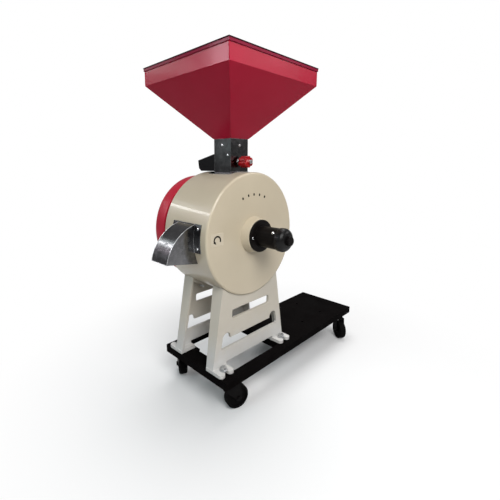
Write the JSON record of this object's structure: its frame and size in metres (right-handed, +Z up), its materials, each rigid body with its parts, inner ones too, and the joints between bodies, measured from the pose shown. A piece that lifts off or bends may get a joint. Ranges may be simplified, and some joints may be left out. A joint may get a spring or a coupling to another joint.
{
  "type": "stone mill",
  "caption": "Flour mill with an upright pair of stones in a drum, a hopper with a feed gate, a side spout, a stone-gap adjuster and a wheeled base with a motor plate.",
  "frame": {"origin": "on the floor under the middle of the mill's bounding box", "axes": "+Z up, -Y towards the front where the adjuster is, -X towards the spout, +X towards the motor plate; the shaft runs along Y"},
  "size_m": [0.9216, 0.4684, 1.104],
  "materials": {
    "cream_paint": "semi-gloss cream paint on cast iron",
    "red_paint": "gloss red paint",
    "red_plastic": "gloss",
    "black_paint": "satin black",
    "black_rubber": "matte",
    "galvanised_sheet": "galvanised",
    "bright_steel": "turned",
    "zinc_fasteners": "zinc plated",
    "castor_steel": "black pressed steel",
    "castor_tread": "matte",
    "mill_stone": "rough stone"
  },
  "bodies": {
    "root": {"drum": "cream_paint", "rear_cover": "cream_paint", "front_stand": "cream_paint", "rear_stand": "cream_paint", "hopper": "red_paint", "base_frame": "black_paint", "adjuster_housing": "black_paint", "gate_pocket": "black_paint", "rim_edging": "black_rubber", "neck": "galvanised_sheet", "spout": "galvanised_sheet", "feed_chute": "galvanised_sheet", "rear_bearings": "bright_steel", "return_springs": "bright_steel", "bearing_cap": "bright_steel", "bed_plate": "bright_steel", "bed_posts": "bright_steel", "gate_rails": "bright_steel", "rear_cover_bolts": "zinc_fasteners", "bearing_cap_screws": "zinc_fasteners", "adjuster_screws": "zinc_fasteners", "hopper_screws": "zinc_fasteners", "neck_rivets": "zinc_fasteners", "spout_screws": "zinc_fasteners", "saddle_bolts": "zinc_fasteners", "foot_bolts": "zinc_fasteners", "foot_washers": "zinc_fasteners", "castor_bolts": "zinc_fasteners", "gate_bush": "zinc_fasteners", "grease_nipple": "zinc_fasteners", "castor_plates": "castor_steel", "fixed_stone": "mill_stone"},
    "quill": {"quill": "bright_steel", "front_bearing": "bright_steel", "thrust_ball": "bright_steel", "spindle_nut": "black_paint"},
    "rotor": {"shaft": "bright_steel", "runner_plate": "bright_steel", "runner_stone": "mill_stone", "runner_nut": "bright_steel", "pulley": "red_paint", "pulley_key": "bright_steel", "pulley_nut": "zinc_fasteners"},
    "adjuster_knob": {"adjuster_knob": "black_paint"},
    "feed_gate": {"feed_gate": "bright_steel"},
    "gate_knob": {"gate_screw": "bright_steel", "gate_knob": "red_plastic", "gate_knob_nut": "zinc_fasteners"},
    "castor_front_left": {"castor_fork_front_left": "castor_steel", "castor_axle_front_left": "zinc_fasteners"},
    "wheel_front_left": {"castor_wheel_front_left": "castor_tread"},
    "castor_front_right": {"castor_fork_front_right": "castor_steel", "castor_axle_front_right": "zinc_fasteners"},
    "wheel_front_right": {"castor_wheel_front_right": "castor_tread"},
    "castor_rear_left": {"castor_fork_rear_left": "castor_steel", "castor_axle_rear_left": "zinc_fasteners"},
    "wheel_rear_left": {"castor_wheel_rear_left": "castor_tread"},
    "castor_rear_right": {"castor_fork_rear_right": "castor_steel", "castor_axle_rear_right": "zinc_fasteners"},
    "wheel_rear_right": {"castor_wheel_rear_right": "castor_tread"}
  },
  "joints": [
    {"name": "stone_gap", "type": "slide", "parent": "root", "child": "quill", "axis": [0, 1, 0], "range_m": [0, 0.0035], "deforming": ["return_springs"]},
    {"name": "rotor_spin", "type": "hinge", "parent": "quill", "child": "rotor", "pos_m": [-0.15718, -0.082, 0.563], "axis": [0, 1, 0], "continuous": true},
    {"name": "adjuster_turn", "type": "hinge", "parent": "quill", "child": "adjuster_knob", "pos_m": [-0.15718, -0.223, 0.563], "axis": [0, 1, 0], "range_deg": [0, 320]},
    {"name": "feed_gate_slide", "type": "slide", "parent": "root", "child": "feed_gate", "axis": [0, -1, 0], "range_m": [0, 0.078]},
    {"name": "gate_knob_turn", "type": "hinge", "parent": "root", "child": "gate_knob", "pos_m": [-0.15718, -0.06, 0.801], "axis": [0, 1, 0], "range_deg": [0, 2812]},
    {"name": "swivel_front_left", "type": "hinge", "parent": "root", "child": "castor_front_left", "pos_m": [-0.29418, -0.095, 0.0887], "axis": [0, 0, 1], "continuous": true},
    {"name": "roll_front_left", "type": "hinge", "parent": "castor_front_left", "child": "wheel_front_left", "pos_m": [-0.26133, -0.1038, 0.04], "axis": [-0.2588, -0.9659, 0], "continuous": true},
    {"name": "swivel_front_right", "type": "hinge", "parent": "root", "child": "castor_front_right", "pos_m": [0.41682, -0.095, 0.0887], "axis": [0, 0, 1], "continuous": true},
    {"name": "roll_front_right", "type": "hinge", "parent": "castor_front_right", "child": "wheel_front_right", "pos_m": [0.39732, -0.12285, 0.04], "axis": [-0.8192, 0.5736, 0], "continuous": true},
    {"name": "swivel_rear_left", "type": "hinge", "parent": "root", "child": "castor_rear_left", "pos_m": [-0.29418, 0.142, 0.0887], "axis": [0, 0, 1], "continuous": true},
    {"name": "roll_rear_left", "type": "hinge", "parent": "castor_rear_left", "child": "wheel_rear_left", "pos_m": [-0.27718, 0.17144, 0.04], "axis": [0.866, -0.5, 0], "continuous": true},
    {"name": "swivel_rear_right", "type": "hinge", "parent": "root", "child": "castor_rear_right", "pos_m": [0.41682, 0.078, 0.0887], "axis": [0, 0, 1], "continuous": true},
    {"name": "roll_rear_right", "type": "hinge", "parent": "castor_rear_right", "child": "wheel_rear_right", "pos_m": [0.39982, 0.04856, 0.04], "axis": [-0.866, 0.5, 0], "continuous": true}
  ],
  "couplings": [
    {"joint": "adjuster_turn", "follows": "stone_gap", "rad_per_m": 1570.8},
    {"joint": "gate_knob_turn", "follows": "feed_gate_slide", "rad_per_m": 628.32}
  ]
}
